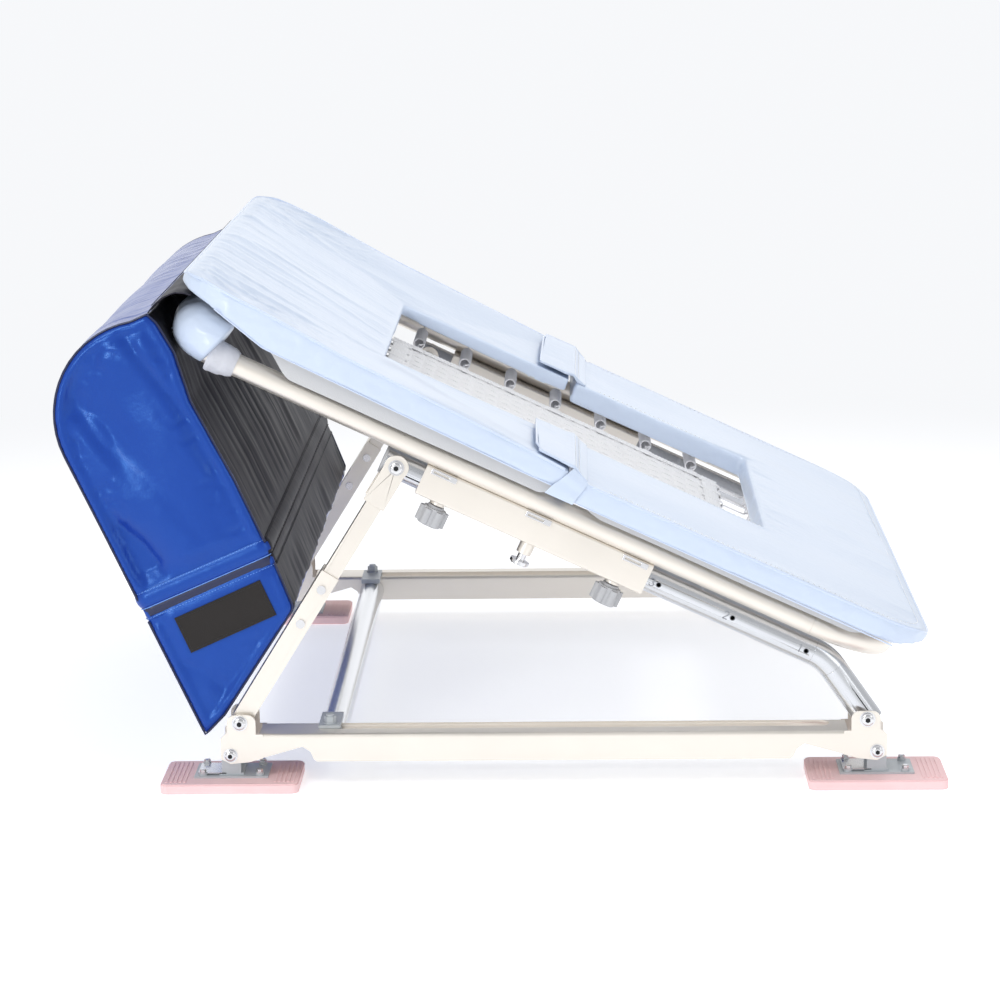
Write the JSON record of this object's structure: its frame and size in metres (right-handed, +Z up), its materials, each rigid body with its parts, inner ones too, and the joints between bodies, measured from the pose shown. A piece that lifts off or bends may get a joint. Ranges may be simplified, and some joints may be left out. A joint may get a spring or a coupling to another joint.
{
  "type": "gymnastics mini trampoline with end wedge pad",
  "caption": "Mini trampoline for run-up jumps: sloping padded frame on a folding-leg base, woven bed on springs, sliding carriage and a foam wedge pad at the high end.",
  "frame": {"origin": "centre of the part's footprint box on the floor", "axes": "+X along the base rails from the wedge end to the low run-up end, +Y across to the right side, +Z up"},
  "size_m": [1.3639, 1.277, 0.801],
  "materials": {
    "zinc_steel": "pale plated steel, satin",
    "bright_tube": "bright drawn tube",
    "bolt_steel": "bright plated fasteners",
    "dark_steel": "coated steel, seen as pale grey",
    "foot_rubber": "matt pale red rubber",
    "black_plastic": "moulded plastic, seen as pale grey",
    "bed_webbing": "woven white webbing",
    "spring_steel": "coiled spring wire",
    "pad_vinyl": "pale blue coated vinyl, soft gloss",
    "collar_vinyl": "pale grey vinyl",
    "black_webbing": "black webbing",
    "wedge_vinyl": "royal blue coated vinyl, glossy",
    "wedge_dark": "near black coated vinyl"
  },
  "bodies": {
    "base": {"base_rail_left": "zinc_steel", "base_rail_right": "zinc_steel", "leg_channel_left": "zinc_steel", "leg_channel_right": "zinc_steel", "leg_tube_left": "zinc_steel", "leg_tube_right": "zinc_steel", "leg_rivets": "bolt_steel", "slide_tube_left": "bright_tube", "slide_tube_right": "bright_tube", "slide_tube_caps": "black_plastic", "top_bolts": "bolt_steel", "ear_bolts_left": "bolt_steel", "ear_bolts_right": "bolt_steel", "foot_bolt_high_left": "bolt_steel", "foot_bolt_high_right": "bolt_steel", "foot_bolt_low_left": "bolt_steel", "foot_bolt_low_right": "bolt_steel"},
    "cross_brace": {"cross_tube": "bright_tube", "cross_clamps": "dark_steel", "cross_bolts": "dark_steel"},
    "carriage": {"sleeve_left": "zinc_steel", "sleeve_right": "zinc_steel", "frame_side_left": "zinc_steel", "frame_side_right": "zinc_steel", "frame_high": "zinc_steel", "frame_low": "zinc_steel", "frame_clips": "bolt_steel", "springs_high": "spring_steel", "springs_low": "spring_steel", "springs_left": "spring_steel", "springs_right": "spring_steel", "pad_upper": "pad_vinyl", "pad_lower": "pad_vinyl", "flap_left": "pad_vinyl", "flap_right": "pad_vinyl", "end_roll": "pad_vinyl", "roll_collars": "collar_vinyl", "pad_straps": "black_webbing"},
    "bed": {"bed_web": "bed_webbing", "bed_hem": "bed_webbing"},
    "wedge": {"wedge_upper": "wedge_vinyl", "wedge_lower": "wedge_vinyl", "wedge_zip": "wedge_dark", "wedge_patch": "wedge_dark", "wedge_flap": "black_webbing"},
    "foot_high_left": {"foot_block_high_left": "foot_rubber", "foot_bracket_high_left": "dark_steel"},
    "foot_high_right": {"foot_block_high_right": "foot_rubber", "foot_bracket_high_right": "dark_steel"},
    "foot_low_left": {"foot_block_low_left": "foot_rubber", "foot_bracket_low_left": "dark_steel"},
    "foot_low_right": {"foot_block_low_right": "foot_rubber", "foot_bracket_low_right": "dark_steel"},
    "knob_high_left": {"clamp_knob_high_left": "black_plastic"},
    "knob_high_right": {"clamp_knob_high_right": "black_plastic"},
    "knob_low_left": {"clamp_knob_low_left": "black_plastic"},
    "knob_low_right": {"clamp_knob_low_right": "black_plastic"},
    "pin_left": {"index_pin_left": "bolt_steel"},
    "pin_right": {"index_pin_right": "bolt_steel"}
  },
  "joints": [
    {"name": "carriage_slide", "type": "slide", "parent": "base", "child": "carriage", "axis": [0.9056, 0, -0.4242], "range_m": [0, 0.25]},
    {"name": "cross_brace_slide", "type": "slide", "parent": "base", "child": "cross_brace", "axis": [1, 0, 0], "range_m": [0, 0.7]},
    {"name": "bed_bounce", "type": "slide", "parent": "carriage", "child": "bed", "axis": [-0.4242, 0, -0.9056], "range_m": [0, 0.12], "stiffness_N_per_m": 5000, "springref_m": -0.01, "deforming": ["springs_high", "springs_low", "springs_left", "springs_right"]},
    {"name": "wedge_lift_off", "type": "slide", "parent": "base", "child": "wedge", "axis": [-1, 0, 0], "range_m": [0, 0.3]},
    {"name": "foot_high_left_hinge", "type": "hinge", "parent": "base", "child": "foot_high_left", "pos_m": [-0.424, -0.564, 0.051], "axis": [0, 1, 0], "range_deg": [-12, 12]},
    {"name": "foot_high_right_hinge", "type": "hinge", "parent": "base", "child": "foot_high_right", "pos_m": [-0.424, 0.564, 0.051], "axis": [0, 1, 0], "range_deg": [-12, 12]},
    {"name": "foot_low_left_hinge", "type": "hinge", "parent": "base", "child": "foot_low_left", "pos_m": [0.576, -0.564, 0.051], "axis": [0, 1, 0], "range_deg": [-12, 12]},
    {"name": "foot_low_right_hinge", "type": "hinge", "parent": "base", "child": "foot_low_right", "pos_m": [0.576, 0.564, 0.051], "axis": [0, 1, 0], "range_deg": [-12, 12]},
    {"name": "knob_high_left_turn", "type": "hinge", "parent": "carriage", "child": "knob_high_left", "pos_m": [-0.09623, -0.564, 0.44328], "axis": [0.4242, 0, 0.9056], "continuous": true},
    {"name": "knob_high_right_turn", "type": "hinge", "parent": "carriage", "child": "knob_high_right", "pos_m": [-0.09623, 0.564, 0.44328], "axis": [0.4242, 0, 0.9056], "continuous": true},
    {"name": "knob_low_left_turn", "type": "hinge", "parent": "carriage", "child": "knob_low_left", "pos_m": [0.17091, -0.564, 0.31814], "axis": [0.4242, 0, 0.9056], "continuous": true},
    {"name": "knob_low_right_turn", "type": "hinge", "parent": "carriage", "child": "knob_low_right", "pos_m": [0.17091, 0.564, 0.31814], "axis": [0.4242, 0, 0.9056], "continuous": true},
    {"name": "pin_left_pull", "type": "slide", "parent": "carriage", "child": "pin_left", "axis": [-0.4242, 0, -0.9056], "range_m": [0, 0.012]},
    {"name": "pin_right_pull", "type": "slide", "parent": "carriage", "child": "pin_right", "axis": [-0.4242, 0, -0.9056], "range_m": [0, 0.012]}
  ]
}
